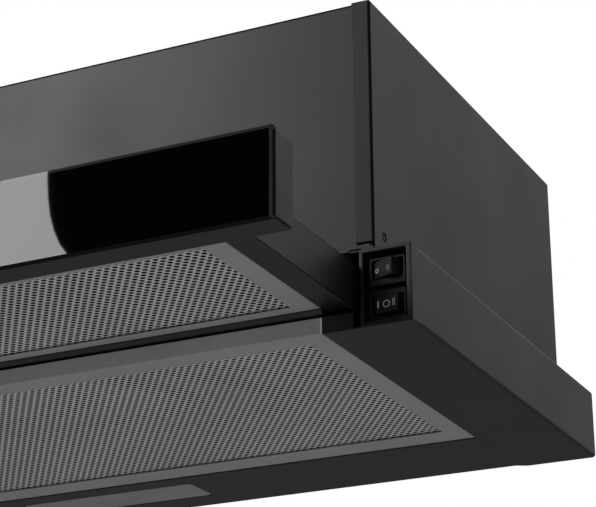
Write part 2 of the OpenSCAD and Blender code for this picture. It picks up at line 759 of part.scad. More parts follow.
module main_filter_lower_sheet() color(mesh_grey) in_base() difference() {
    perforated(half_main - frame_wall - 0.2, frame_wall + 0.2, main_filter_d - frame_wall - 0.2, sheet_low);
    slab(-latch_room_x, latch_room_x, 0, latch_room_y, 0, lip_h);
}
module main_filter_upper_sheet() color(mesh_grey) in_base() difference() {
    perforated(half_main - frame_wall - 0.2, frame_wall + 0.2, main_filter_d - frame_wall - 0.2, sheet_high);
    slab(-latch_room_x, latch_room_x, 0, latch_room_y, 0, lip_h);
}
module main_filter_core() color(zinc) in_base()
    filter_core(half_main - band_w, latch_room_y + 0.4, main_filter_d - frame_wall - 0.4,
                sheet_low + mesh_t, sheet_high);

drawer_sheet_z = floor_z + mesh_recess;
drawer_stem_y = filter_front_y - filter_gap + sheet_gap;
drawer_room_y = drawer_stem_y + latch_t + latch_travel + 0.4;
drawer_latch_l = 16.5;
drawer_rear_band = 6;
drawer_latch_end = drawer_stem_y + drawer_latch_l + latch_travel + 0.4;

module drawer_filter_frame() color(filter_grey) in_base() {
    difference() {
        filter_frame(drawer_filter_w / 2, filter_front_y, filter_rear_y, floor_z, drawer_filter_t,
                     [band_w, drawer_band_w, drawer_rear_band]);
        slab(-latch_room_x, latch_room_x, filter_front_y - over, drawer_room_y,
             floor_z + frame_wall, floor_z + drawer_filter_t + over);
        slab(-latch_w / 3 - 2, latch_w / 3 + 2, drawer_room_y + 1, drawer_room_y + 11,
             floor_z - over, floor_z + 2 * frame_wall);
    }
    both() slab(drawer_filter_w / 4 - 6, drawer_filter_w / 4 + 34, filter_rear_y - frame_wall, bar_y + 1,
                drawer_z + 2 * bar_r + 0.6, drawer_z + 2 * bar_r + 1.6);
}
module drawer_filter_sheet() color(mesh_grey) in_base() difference() {
    perforated(drawer_filter_w / 2 - frame_wall - 0.2, filter_front_y + frame_wall + 0.2,
               filter_rear_y - frame_wall - 0.2, drawer_sheet_z);
    slab(-latch_room_x, latch_room_x, filter_front_y, drawer_latch_end, 0, base_h);
}
module drawer_filter_core() color(zinc) in_base()
    filter_core(drawer_filter_w / 2 - band_w, drawer_latch_end + 1, filter_rear_y - frame_wall - 0.4,
                drawer_sheet_z + mesh_t, floor_z + drawer_filter_t - frame_wall);

// The drawer filter's latch has its finger plate behind the stem
module drawer_filter_latch() color(filter_grey) in_base() translate([0, drawer_stem_y, 0]) {
    plate_z = floor_z + frame_wall + latch_lift;
    slab(-latch_w / 2, latch_w / 2, 0, drawer_latch_l, plate_z, plate_z + latch_t);
    slab(-latch_w / 3, latch_w / 3, 8, 9.5, floor_z + latch_lift, plate_z);
    slab(-latch_w / 4, latch_w / 4, -4, latch_t, plate_z, plate_z + latch_t);
}

// ---- Drawer ----

// Section of the aluminium front: hollow, with a step for the glass
module front_section() difference() {
    translate([front_y, 0]) square([front_t, base_h]);
    translate([front_y - over, -over]) square([glass_t + glass_gap + over, base_h - glass_lip + over]);
    translate([front_y + glass_t + glass_gap + front_wall, front_wall])
        square([front_t - glass_t - glass_gap - 2 * front_wall, base_h - 2 * front_wall]);
}

module drawer_front_profile() color(black_paint) in_base() {
    along_x(-half_front + sheet_gap, half_front - sheet_gap) front_section();
    both() slab(glass_x + glass_gap, glass_x + glass_gap + glass_side, front_y, front_y + glass_t + glass_gap,
                0, base_h - glass_lip);
}

module drawer_front_glass() color("#08090a") in_base()
    slab(-glass_x, glass_x, front_y, front_y + glass_t, 0.3, base_h - glass_lip - 0.3);

// End cap with a plug that sits in the hollow section
module end_cap() in_base() {
    slab(half_front, half_base, front_y + 0.7, front_y + front_t - 0.7, 0.3, base_h - 0.3);
    slab(half_front - plug_l, half_front, front_y + glass_t + glass_gap + front_wall + 0.2,
         front_y + front_t - front_wall - 0.2, front_wall + 0.2, base_h - front_wall - 0.2);
}
module drawer_end_cap_right() color(dark_plastic) end_cap();
module drawer_end_cap_left() color(dark_plastic) mirror([1, 0, 0]) end_cap();

// Welded frame: two channel arms, floor strips, front wall with hem, and the rounded rear bar
module drawer_frame() color(black_paint) in_base() {
    both() {
        slab(half_drawer - sheet, half_drawer, drawer_front_y, arm_reach, drawer_z, drawer_top - sheet);
        slab(half_drawer - arm_flange, half_drawer, drawer_front_y, arm_reach, drawer_top - 2 * sheet,
             drawer_top - sheet);
        slab(strip_x, half_drawer - sheet, drawer_front_y, bar_y + bar_r, floor_z, floor_z + sheet);
        slab(strip_x, strip_x + sheet, drawer_front_y, bar_y + bar_r, floor_z, floor_z + strip_upstand);
    }
    slab(-half_drawer, half_drawer, drawer_front_y, drawer_front_y + sheet, drawer_z, drawer_top - sheet);
    slab(-strip_x, strip_x, drawer_front_y, drawer_front_y + sheet + front_hem, floor_z, floor_z + sheet);
    rod_x(-strip_x, strip_x, bar_y, drawer_z + 0.1 + bar_r, bar_r);
}

module drawer_cover() color(black_paint) in_base()
    slab(-half_drawer, half_drawer, drawer_front_y, cover_reach, drawer_top - sheet, drawer_top);

// ---- Slides ----

// Section of an outer rail: web on the bracket's side, ball tracks turned inwards
module outer_rail_section() translate([rail_x, slide_z]) {
    depth = rail_w - 2 * rail_t;
    translate([-rail_t, -rail_h / 2]) square([rail_t, rail_h]);
    for (s = [0, 1]) mirror([0, s]) translate([-depth, rail_h / 2]) {
        translate([0, -rail_t]) square([depth, rail_t]);
        translate([0, -rail_t - rail_lip]) square([rail_t, rail_t + rail_lip]);
    }
}

// Section of an inner rail: web on the arm, shallow channel that the balls run on
module inner_rail_section() translate([half_drawer, slide_z]) {
    translate([0, -inner_h / 2]) square([rail_t, inner_h]);
    for (s = [0, 1]) mirror([0, s]) translate([0, inner_h / 2 - rail_t])
        square([ball_x + 0.2 - half_drawer, rail_t]);
}

module outer_rail() in_base() along_y(rail_front, rail_end) outer_rail_section();
module inner_rail() in_base() along_y(arm_reach - inner_l, arm_reach) inner_rail_section();

// Ball cage: a strip between the two rails, with a row of balls in round holes along either edge
module ball_cage() in_base() {
    last = floor((cage_l - ball_pitch) / ball_pitch);
    edge = rail_h / 2 - rail_t - ball_clear;
    places = [for (i = [0 : last], z = [-ball_z, ball_z])
        [ball_x, cage_y0 + cage_l / 2 + (i - last / 2) * ball_pitch, slide_z + z]];
    difference() {
        slab(cage_x, cage_x + cage_t, cage_y0, cage_y0 + cage_l, slide_z - edge, slide_z + edge);
        for (p = places) rod_x(cage_x - over, cage_x + cage_t + over, p[1], p[2], cage_hole_r);
    }
    for (p = places) translate(p) sphere(d = ball_d, $fn = 24);
}

// Z-shaped bracket between the base's floor and a slide
module slide_bracket() in_base() {
    slab(rail_x, rail_x + sheet, rail_front, rail_end, sheet, slide_z + rail_h / 2 + 1);
    slab(rail_x, rail_x + flange_w, rail_front, rail_end, sheet, 2 * sheet);
}

module slide_outer_right() color(zinc) outer_rail();
module slide_outer_left() color(zinc) mirror([1, 0, 0]) outer_rail();
module slide_inner_right() color(zinc) inner_rail();
module slide_inner_left() color(zinc) mirror([1, 0, 0]) inner_rail();
module slide_cage_right() color(zinc) ball_cage();
module slide_cage_left() color(zinc) mirror([1, 0, 0]) ball_cage();
module slide_bracket_right() color(black_paint) slide_bracket();
module slide_bracket_left() color(black_paint) mirror([1, 0, 0]) slide_bracket();

// ---- Outlet ----

// Spigot with a foot flange, a stop ring under the flaps and bosses for their pin
module duct_collar() color(dark_plastic) in_base() translate([0, outlet_at, plate_top]) difference() {
    union() {
        cylinder(h = collar_t, d = spigot_d + 2 * collar_flange, $fn = 96);
        cylinder(h = spigot_h, d = spigot_d, $fn = 96);
    }
    translate([0, 0, -over]) cylinder(h = spigot_h, d = spigot_bore - 2 * flap_stop, $fn = 96);
    translate([0, 0, flap_pin_h - flap_t - flap_drop - flap_gap]) cylinder(h = spigot_h, d = spigot_bore, $fn = 96);
    rod_x(-spigot_d / 2 - over, spigot_d / 2 + over, 0, flap_pin_h, flap_pin_d / 2);
}

module flap_pin() color(zinc) in_base()
    rod_x(-spigot_d / 2 + 0.5, spigot_d / 2 - 0.5, outlet_at, pin_z, flap_pin_d / 2);

// One half-round flap, hinged on the pin; the knuckles of the two flaps alternate
module flap(first) translate([0, outlet_at, pin_z]) {
    slots = [for (i = [first : 2 : 7]) (i - 4) * knuckle_w];
    difference() {
        union() {
            translate([0, 0, -flap_t - flap_drop]) linear_extrude(flap_t) intersection() {
                circle(flap_r, $fn = 96);
                translate([-flap_r, knuckle_r + flap_gap]) square([2 * flap_r, flap_r]);
            }
            for (x = slots) {
                rod_x(x + flap_gap, x + knuckle_w - flap_gap, 0, 0, knuckle_r);
                slab(x + flap_gap, x + knuckle_w - flap_gap, 0, knuckle_r + 1, -flap_t - flap_drop, -flap_drop);
            }
        }
        rod_x(-flap_r, flap_r, 0, 0, flap_pin_d / 2 + 0.15);
    }
}
module flap_rear() color(dark_plastic) in_base() flap(0);
module flap_front() color(dark_plastic) in_base() translate([0, 2 * outlet_at, 0]) mirror([0, 1, 0]) flap(1);

// ---- Blower ----

function scroll_at(a, extra) = (scroll_r + extra + scroll_grow * a / 360) * [cos(a), sin(a)];

// Distance from the axis to the screw lug at an angle
function lug_at(a) = scroll_r + scroll_grow * a / 360 + scroll_wall + lug_out;

// Outline of the scroll and its throat, widened on all sides by extra
module scroll_outline(extra, top) {
    spiral = [for (a = [tongue_a : 5 : 360]) scroll_at(a, extra)];
    start = scroll_at(tongue_a, extra)[0] - extra;
    polygon(concat([[start, top]], spiral, [[scroll_end_r + extra, top]]));
}

// Right half of the scroll casing, open at the middle and towards the outlet
module scroll_half() in_base() {
    top = top_z - blower_z;
    translate([0, blower_y, blower_z]) difference() {
        union() {
            along_x(0, scroll_x) scroll_outline(scroll_wall, top);
            slab(0, scroll_x + throat_lip, tongue_y - throat_lip, scroll_end_r + throat_lip, top - scroll_wall, top);
            for (a = lug_a) rotate([a, 0, 0]) rod_x(0, lug_l, lug_at(a), 0, lug_r);
        }
        along_x(-over, scroll_w / 2) scroll_outline(0, top + over);
        for (a = lug_a) rotate([a, 0, 0]) rod_x(-over, lug_l + over, lug_at(a), 0, screw_r + close_fit);
        children();
    }
}
module scroll_shell_right() color("#3a3d40") scroll_half() rod_x(0, scroll_x + over, 0, 0, inlet_r + ring_flange / 2);
module scroll_shell_left() color("#3a3d40") mirror([1, 0, 0]) scroll_half() {
    rod_x(0, scroll_x + over, 0, 0, motor_boss_r + sheet_gap);
    for (a = [45 : 90 : 315]) rotate([a, 0, 0]) rod_x(0, scroll_x + over, motor_foot_r, 0, screw_r + 0.7);
}

// Ring that leads the air into the impeller: throat, fixing flange and rounded mouth
module inlet_ring() color(cream_plastic) in_base() translate([0, blower_y, blower_z]) rotate([0, 90, 0])
    rotate_extrude($fn = 96) {
        mouth_x = scroll_x + ring_reach;
        translate([inlet_r, scroll_w / 2 - 1]) square([ring_wall, mouth_x - scroll_w / 2 + 1]);
        translate([inlet_r, scroll_x]) square([ring_flange, ring_wall]);
        translate([inlet_r + 2 * ring_wall, mouth_x]) intersection() {
            difference() {
                circle(2 * ring_wall);
                circle(ring_wall);
            }
            translate([-2 * ring_wall, 0]) square(2 * ring_wall);
        }
    }

// Forward-curved blade: a curved strip between two arcs, drawn by its own points
module blade() {
    r1 = impeller_d / 2 - 0.5;
    arc = [for (s = [0 : 0.25 : 1]) [r1 - blade_d * (1 - s), 0.4 * blade_d * s * s]];
    inner = [for (i = [4 : -1 : 0]) arc[i] + [0.1, 0.9]];
    polygon(concat(arc, inner));
}

module impeller() color("#202326") in_base() translate([0, blower_y, blower_z]) {
    x0 = -impeller_l / 2;
    difference() {
        rod_x(impeller_l / 2 - 2, impeller_l / 2, 0, 0, impeller_d / 2);
        rod_x(impeller_l / 2 - 2 - over, impeller_l / 2 + over, 0, 0, impeller_d / 2 - blade_d + 0.5);
    }
    difference() {
        union() {
            rod_x(x0, x0 + 1.6, 0, 0, impeller_d / 2);
            rod_x(x0, x0 + hub_l, 0, 0, hub_r);
        }
        rod_x(x0 - over, x0 + hub_l + over, 0, 0, shaft_d / 2);
    }
    for (i = [0 : blades - 1]) along_x(x0 + 1.4, impeller_l / 2 - 1.8) rotate(i * 360 / blades) blade();
}

// Motor: ribbed can, end bell and four feet that screw to the scroll
module motor() color(zinc) in_base() translate([0, blower_y, blower_z]) mirror([1, 0, 0]) difference() {
    union() {
        rod_x(motor_face, motor_face + motor_l, 0, 0, motor_d / 2);
        for (i = [1 : 4]) rod_x(motor_face + i * motor_l / 5 - 1, motor_face + i * motor_l / 5 + 1, 0, 0,
                                motor_d / 2 + motor_rib);
        rod_x(motor_face + motor_l, motor_face + motor_l + motor_bell, 0, 0, motor_d / 5);
        rod_x(scroll_w / 2 + 0.5, motor_face, 0, 0, motor_boss_r);
        for (a = [45 : 90 : 315]) rotate([a, 0, 0]) rod_x(scroll_x, motor_face, motor_foot_r, 0, lug_r);
    }
    rod_x(0, motor_face + shaft_seat + over, 0, 0, shaft_d / 2 + shaft_clear);
    for (a = [45 : 90 : 315]) rotate([a, 0, 0]) rod_x(0, motor_face + 8, motor_foot_r, 0, screw_r + close_fit);
}

module motor_shaft() color(zinc) in_base()
    rod_x(-motor_face - shaft_seat, -impeller_l / 2 + hub_l, blower_y, blower_z, shaft_d / 2);

// Motor capacitor: a round can with two tabs on top, strapped to the back panel
module capacitor() color("#e6e6e2") in_base() translate([capacitor_x, capacitor_y, capacitor_z]) {
    cylinder(h = capacitor_l, d = capacitor_d);
    for (x = [-capacitor_d / 6, capacitor_d / 6]) slab(x - 3, x + 3, -0.4, 0.4, capacitor_l, capacitor_l + 8);
}

// Strap round the capacitor, with an ear screwed to the back panel on either side
module capacitor_strap() color(zinc) in_base()
    translate([capacitor_x, capacitor_y, capacitor_z + (capacitor_l - strap_h) / 2]) {
        r = capacitor_d / 2 + close_fit;
        wall_at = base_d - sheet - capacitor_y;
        difference() {
            union() {
                cylinder(h = strap_h, r = r + sheet);
                slab(-r - sheet, r + sheet, 0, wall_at, 0, strap_h);
                slab(-r - flange_w, r + flange_w, wall_at - sheet, wall_at, 0, strap_h);
            }
            translate([0, 0, -over]) cylinder(h = strap_h + 2 * over, r = r);
            slab(-r, r, 0, wall_at + over, -over, strap_h + over);
        }
    }

// Terminal box under the mains gland
module terminal_box() color(cream_plastic) in_base() difference() {
    half_w = terminal_w / 2;
    back = base_d - sheet;
    top = top_z - terminal_drop;
    slab(gland_x - half_w, gland_x + half_w, back - terminal_h, back, top - terminal_h, top);
    slab(gland_x - half_w + terminal_wall, gland_x + half_w - terminal_wall, back - terminal_h + terminal_wall,
         back - terminal_wall, top - terminal_h + terminal_wall, top + over);
}

// Mains gland: hexagonal head, dome and threaded sleeve through the top panel
module cable_gland() color(dark_plastic) in_base() translate([gland_x, gland_y, plate_top]) difference() {
    union() {
        cylinder(h = gland_head, d = gland_d + 6, $fn = 6);
        translate([0, 0, gland_head]) cylinder(h = gland_dome, d = gland_d + 2);
        translate([0, 0, -gland_sleeve]) cylinder(h = gland_sleeve, d = gland_d - sheet_gap);
    }
    translate([0, 0, -gland_sleeve - over]) cylinder(h = gland_sleeve + gland_head + gland_dome + 2 * over,
                                                     d = gland_bore);
}

// ---- Fasteners ----

module housing_rivets() color(black_paint) in_base() both() {
    rod_x(front_x - rivet_l, half_upper - 0.2, rivet_y, rivet_z, rivet_r);
    rod_x(front_x - rivet_l, front_x - sheet - close_fit, rivet_y, rivet_z, rivet_r + 1.2);
}

module scroll_screws() color(zinc) in_base() translate([0, blower_y, blower_z])
    for (a = lug_a) rotate([a, 0, 0]) {
        rod_x(-lug_l - 1, lug_l, lug_at(a), 0, screw_r);
        rod_x(lug_l, lug_l + 2, lug_at(a), 0, 2 * screw_r);
    }

base_pan();
front_beam();
main_filter_catch_rail();
upper_side_right();
upper_side_left();
upper_front_panel();
upper_back_panel();
upper_top_panel();
switch_housing();
left_blank_cover();
light_switch_body();
light_rocker();
fan_switch_body();
fan_rocker();
lamp_lens();
lamp_housing();
led_board();
main_filter_frame();
main_filter_lower_sheet();
main_filter_core();
main_filter_upper_sheet();
main_filter_latch();
drawer_front_profile();
drawer_front_glass();
drawer_end_cap_right();
drawer_end_cap_left();
drawer_frame();
drawer_cover();
drawer_filter_frame();
drawer_filter_sheet();
drawer_filter_core();
drawer_filter_latch();
slide_bracket_right();
slide_bracket_left();
slide_outer_right();
slide_outer_left();
slide_cage_right();
slide_cage_left();
slide_inner_right();
slide_inner_left();
duct_collar();
flap_pin();
flap_front();
flap_rear();
scroll_shell_right();
scroll_shell_left();
inlet_ring();
impeller();
motor();
motor_shaft();
capacitor();
capacitor_strap();
terminal_box();
cable_gland();
housing_rivets();
scroll_screws();
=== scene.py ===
"""Looks of the range hood: soft-edged sheet metal, perforated filters, glass visor and rocker switches."""
import json
import math

import bmesh
import bpy
from mathutils import Matrix, Vector


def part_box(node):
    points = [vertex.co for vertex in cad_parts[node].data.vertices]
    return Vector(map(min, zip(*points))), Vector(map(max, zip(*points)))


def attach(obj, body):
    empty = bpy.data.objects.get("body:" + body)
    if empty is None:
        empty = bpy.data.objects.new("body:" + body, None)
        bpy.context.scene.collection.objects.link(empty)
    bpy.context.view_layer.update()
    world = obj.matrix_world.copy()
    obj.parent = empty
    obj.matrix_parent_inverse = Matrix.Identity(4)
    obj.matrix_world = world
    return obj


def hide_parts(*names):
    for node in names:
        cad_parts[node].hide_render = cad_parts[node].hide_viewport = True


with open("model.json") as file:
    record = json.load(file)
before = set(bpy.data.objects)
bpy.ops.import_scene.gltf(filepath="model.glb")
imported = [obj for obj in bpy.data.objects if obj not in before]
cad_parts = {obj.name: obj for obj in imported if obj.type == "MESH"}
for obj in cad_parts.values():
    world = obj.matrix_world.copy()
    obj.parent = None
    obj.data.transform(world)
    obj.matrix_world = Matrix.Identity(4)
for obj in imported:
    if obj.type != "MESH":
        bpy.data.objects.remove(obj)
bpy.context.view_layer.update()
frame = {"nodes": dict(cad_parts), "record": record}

MM = 0.001
WHITE = (1, 1, 1, 1)
BODY_OF = {node: body for body, nodes in frame["record"]["behaviour"]["bodies"].items() for node in nodes}
SLOT_OF = {part["node"]: part["material_slot"] for part in frame["record"]["subparts"]}

# ---- Camera: the photograph's view, fitted to the straight edges of the hood ----
CAMERA_AT = (0.65578, -0.92607, -0.32592)
CAMERA_RIGHT = (0.89939506, 0.43709511, -0.00603211)
CAMERA_UP = (0.162406, -0.32130196, 0.93294658)
CAMERA_LENS, CAMERA_SENSOR = 126.053, 36
CAMERA_CLIP = (0.05, 60)


def make_camera():
    """A camera whose axes are the fitted right and up directions."""
    right, up = Vector(CAMERA_RIGHT), Vector(CAMERA_UP)
    columns = (right, up, right.cross(up), CAMERA_AT)
    data = bpy.data.cameras.new("camera")
    data.lens, data.sensor_width = CAMERA_LENS, CAMERA_SENSOR
    data.clip_start, data.clip_end = CAMERA_CLIP
    camera = bpy.data.objects.new("camera", data)
    bpy.context.collection.objects.link(camera)
    camera.matrix_world = Matrix([[column[row] for column in columns] for row in range(3)] + [[0, 0, 0, 1]])
    bpy.context.scene.camera = camera


# ---- Materials ----
NOISE_SPAN = (0.3, 0.7)  # where nearly all of a noise's values lie


def add_node(tree, kind, inputs=(), **settings):
    """A node with its settings; inputs maps a socket to a value or to another node's output."""
    node = tree.nodes.new(kind)
    for key, value in settings.items():
        setattr(node, key, value)
    for socket, value in dict(inputs).items():
        if isinstance(value, bpy.types.NodeSocket):
            tree.links.new(value, node.inputs[socket])
        else:
            node.inputs[socket].default_value = value
    return node


class Shader:
    """A Principled material with short calls for its nodes."""

    def __init__(self, name, color, roughness, **sockets):
        self.material = bpy.data.materials.new(name)
        self.material.use_nodes = True
        self.tree = self.material.node_tree
        self.main = self.tree.nodes["Principled BSDF"]
        self.main.inputs["Base Color"].default_value = (*color, 1)
        self.main.inputs["Roughness"].default_value = roughness
        for socket, value in sockets.items():
            self.main.inputs[socket.replace("_", " ")].default_value = value
        self.place = self.add("ShaderNodeTexCoord").outputs["Object"]

    def add(self, kind, inputs=(), **settings):
        """A node of this material."""
        return add_node(self.tree, kind, inputs, **settings)

    def feed(self, socket, value):
        """Links a node's output to one of the material's own inputs."""
        self.tree.links.new(value, self.main.inputs[socket])

    def span(self, value, source, target):
        """A value carried from one range to another and held at the ends."""
        node = self.add("ShaderNodeMapRange", {"Value": value, "From Min": source[0], "From Max": source[1],
                                               "To Min": target[0], "To Max": target[1]})
        return node.outputs["Result"]

    def noise(self, scale, detail=3, stretch=(1, 1, 1)):
        """Noise of so many cycles a metre, stretched along an axis if asked."""
        mapped = self.add("ShaderNodeMapping", {"Vector": self.place, "Scale": stretch})
        node = self.add("ShaderNodeTexNoise", {"Vector": mapped.outputs[0], "Scale": scale, "Detail": detail})
        return node.outputs["Fac"]

    def vary_color(self, value, low, high):
        """Lets the base colour run between two colours with a noise."""
        ramp = self.add("ShaderNodeValToRGB", {"Fac": value})
        for element, position, color in zip(ramp.color_ramp.elements, NOISE_SPAN, (low, high)):
            element.position, element.color = position, (*color, 1)
        self.feed("Base Color", ramp.outputs["Color"])

    def mottle(self, value, color, shares):
        """Lets the base colour run between two shares of a colour with a noise."""
        self.vary_color(value, *(tuple(share * channel for channel in color) for share in shares))

    def vary_roughness(self, value, middle, spread):
        """Lets the roughness run with a noise, by a spread of two numbers round its middle."""
        self.feed("Roughness", self.span(value, NOISE_SPAN, (middle + spread[0], middle + spread[1])))

    def bump(self, value, depth, strength=1.0):
        """Raises the surface by value times depth, in metres."""
        node = self.add("ShaderNodeBump", {"Height": value, "Distance": depth, "Strength": strength})
        self.feed("Normal", node.outputs["Normal"])


def grey(level):
    """A neutral colour from its linear level."""
    return (level, level, level)


# How the colour, as shares, and the roughness vary over each kind of surface
PAINT_SHARES, PAINT_ROUGHNESS = (0.93, 1.07), (-0.03, 0.04)
PLASTIC_SHARES, PLASTIC_ROUGHNESS = (0.9, 1.1), (-0.04, 0.05)
METAL_SHARES, METAL_ROUGHNESS = (0.88, 1.1), (-0.07, 0.08)


def paint(name, level, roughness, grain=900, depth=0.00003):
    """Satin powder coat: fine orange peel, faint mottling and slightly uneven gloss."""
    shader = Shader(name, grey(level), roughness, Specular_IOR_Level=0.5)
    fine, broad = shader.noise(grain, 4), shader.noise(14)
    shader.mottle(broad, grey(level), PAINT_SHARES)
    shader.vary_roughness(broad, roughness, PAINT_ROUGHNESS)
    shader.bump(fine, depth, 0.6)
    return shader.material


def plastic(name, color, roughness, grain=1500, depth=0.00002, shine=0.5):
    """Moulded plastic with a fine spark-eroded grain."""
    shader = Shader(name, color, roughness, Specular_IOR_Level=shine)
    fine = shader.noise(grain)
    shader.mottle(fine, color, PLASTIC_SHARES)
    shader.vary_roughness(shader.noise(40, 2), roughness, PLASTIC_ROUGHNESS)
    shader.bump(fine, depth, 0.5)
    return shader.material


def metal(name, level, roughness, stretch=(1, 1, 1)):
    """Bare or plated metal with fine drawn lines."""
    shader = Shader(name, grey(level), roughness, Metallic=1.0)
    lines = shader.noise(300, 4, stretch)
    shader.mottle(lines, grey(level), METAL_SHARES)
    shader.vary_roughness(lines, roughness, METAL_ROUGHNESS)
    shader.bump(lines, 0.00001, 0.4)
    return shader.material


GLASS_ROUGHNESS, GLASS_SHINE = 0.015, 0.46
GROUND_ROUGHNESS, GROUND_SHINE = 0.6, 0.1
FRONT_SHARE = (0.8, 0.95)  # how far the normal lies along y at a ground edge's end and on the front


def glass(name, level, roughness, spread=0):
    """Glass with paint behind it: a deep gloss where it faces along y, and matt at its ground edges."""
    shader = Shader(name, grey(level), roughness, Specular_IOR_Level=GLASS_SHINE)
    if spread:
        shader.vary_color(shader.noise(40, 2), grey(level - spread), grey(level + spread))
    normal = shader.add("ShaderNodeNewGeometry").outputs["Normal"]
    facing = shader.add("ShaderNodeSeparateXYZ", {"Vector": normal})
    along = shader.add("ShaderNodeMath", {0: facing.outputs["Y"]}, operation="ABSOLUTE").outputs[0]
    shader.feed("Roughness", shader.span(along, FRONT_SHARE, (GROUND_ROUGHNESS, GLASS_ROUGHNESS)))
    shader.feed("Specular IOR Level", shader.span(along, FRONT_SHARE, (GROUND_SHINE, GLASS_SHINE)))
    return shader.material


def painted_shade(name):
    """Near-black matt material that swallows nearly all light, with a cell-like bump; it is painted shade,
    set in gaps, bends and recesses where there is only shade.
    """
    shader = Shader(name, grey(0.0025), 0.95, Specular_IOR_Level=0.1)
    cells = shader.noise(2500)
    shader.vary_color(cells, grey(0.001), grey(0.004))
    shader.bump(cells, 0.0001, 0.8)
    return shader.material


LENS_PRISMS = 260.0  # to a metre


def lens_plastic(name):
    """Frosted lamp lens with a fine prism pattern across it."""
    shader = Shader(name, grey(0.42), 0.38, Transmission_Weight=0.25, Subsurface_Weight=0.1)
    wave = shader.add("ShaderNodeTexWave", {"Vector": shader.place, "Scale": LENS_PRISMS, "Distortion": 0.0},
                      bands_direction="X")
    shader.bump(wave.outputs["Fac"], 0.00005, 0.35)
    shader.vary_color(shader.noise(30, 2), grey(0.38), grey(0.46))
    return shader.material


PAINTS = {  # level and roughness, and where they differ the grain and its depth
    "black_paint": (0.011, 0.42),
    # painted highlight: a lighter black for the light line on the side strip's free edge
    "worn_edge": (0.035, 0.42),
    "filter_frame": (0.4, 0.4, 1400, 0.00001),
    "filter_mesh": (0.72, 0.36, 1600, 0.00001),
    # painted highlight: near-white for the bright edge at the filter riser's right end
    "filter_edge": (0.95, 0.3, 1600, 0.00001),
}
PLASTICS = {  # colour and roughness, and where they differ the grain, its depth and the shine
    "dark_plastic": (grey(0.006), 0.42),
    "rocker_plastic": (grey(0.004), 0.55, 1100, 0.00006, 0.38),
    "switch_plastic": (grey(0.003), 0.6, 1500, 0.00002, 0.3),
    "white_plastic": ((0.66, 0.64, 0.58), 0.45),
    "circuit_board": ((0.72, 0.73, 0.7), 0.5),
    "filter_core": (grey(0.004), 0.9),
    "scroll_plastic": ((0.05, 0.053, 0.057), 0.5),
    "impeller_plastic": ((0.02, 0.022, 0.024), 0.45),
    "symbol_print": (grey(0.6), 0.5),
    "symbol_dim": (grey(0.11), 0.5),
}
METALS = {  # level and roughness, and the stretch of its lines
    "zinc": (0.55, 0.35, (1, 0.05, 1)),
    "motor_steel": (0.4, 0.4),
}
GLASSES = {  # level and roughness, and the spread of the unpainted border's level
    "black_glass": (0.0012, 0.03),
    "glass_border": (0.045, 0.04, 0.003),
}


def make_materials():
    """One material for each of the record's slots, and a few for added pieces."""
    made = {"lens": lens_plastic("lens"), "painted_shade": painted_shade("painted_shade")}
    for kind, table in ((paint, PAINTS), (plastic, PLASTICS), (metal, METALS), (glass, GLASSES)):
        made.update({name: kind(name, *values) for name, values in table.items()})
    return made


# ---- Mesh helpers ----
BASE_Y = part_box("base_pan")[0].y / MM  # the base's front in the row's frame
SAME_POINT = 0.002 * MM
FLAT_ANGLE = math.radians(1)
SOFT_SEGMENTS, SOFT_ANGLE = 2, 28


def to_row(x, y, z):
    """A point in metres from base millimetres."""
    return Vector((x, y + BASE_Y, z)) * MM


def new_object(name, mesh, material, body, slot, *replaced):
    """Links a mesh, gives it its material and joins it to its CAD body."""
    made = bpy.data.objects.new(name, mesh)
    bpy.context.collection.objects.link(made)
    mesh.materials.clear()
    mesh.materials.append(MATERIALS[material])
    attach(made, body)
    if replaced:
        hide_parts(*replaced)
    return made


def bevel_edges(made, width, segments=3, angle=40):
    """Rounds a piece's sharp edges by width in millimetres and keeps its flat faces flat."""
    bevel = made.modifiers.new("bevel", "BEVEL")
    bevel.width, bevel.segments = width * MM, segments
    bevel.limit_method, bevel.angle_limit = "ANGLE", math.radians(angle)
    made.data.shade_smooth()
    made.modifiers.new("flat faces", "WEIGHTED_NORMAL").weight = 100


def soften(node, width, reshape=None):
    """A copy of a CAD node with its sharp edges rounded by width in millimetres, in the node's place.
    reshape moves a vertex given in base millimetres, where y is 0 at the base's front."""
    mesh = frame["nodes"][node].data.copy()
    mesh.name = node + "_soft"
    for name in [a.name for a in mesh.attributes if "normal" in a.name]:
        mesh.attributes.remove(mesh.attributes[name])
    shape = bmesh.new()
    shape.from_mesh(mesh)
    if reshape:
        for vert in shape.verts:
            x, y, z = vert.co / MM
            vert.co = to_row(*reshape(x, y - BASE_Y, z))
    bmesh.ops.remove_doubles(shape, verts=shape.verts, dist=SAME_POINT)
    bmesh.ops.dissolve_limit(shape, angle_limit=FLAT_ANGLE, verts=shape.verts, edges=shape.edges)
    shape.to_mesh(mesh)
    shape.free()
    made = new_object(node + "_soft", mesh, SLOT_OF[node], BODY_OF[node], SLOT_OF[node], node)
    bevel_edges(made, width, SOFT_SEGMENTS, SOFT_ANGLE)


def box_loop(x0, x1, y0, y1):
    """The corners of a rectangle."""
    return [(x0, y0), (x1, y0), (x1, y1), (x0, y1)]


def round_loop(x0, x1, z0, z1, radius, steps=4):
    """The corners of a rounded rectangle."""
    centres = [(x1 - radius, z1 - radius, 0), (x0 + radius, z1 - radius, 90),
               (x0 + radius, z0 + radius, 180), (x1 - radius, z0 + radius, 270)]
    points = []
    for x, z, start in centres:
        for k in range(steps + 1):
            turn = math.radians(start + 90 * k / steps)
            points.append((x + radius * math.cos(turn), z + radius * math.sin(turn)))
    return points


def circle_loop(x, z, radius_x, radius_z, steps=28):
    """An ellipse round a centre."""
    turns = [2 * math.pi * k / steps for k in range(steps)]
    return [(x + radius_x * math.cos(turn), z + radius_z * math.sin(turn)) for turn in turns]


def widened(span, margin):
    """A pair of limits moved apart by a margin at both ends."""
    return span[0] - margin, span[1] + margin


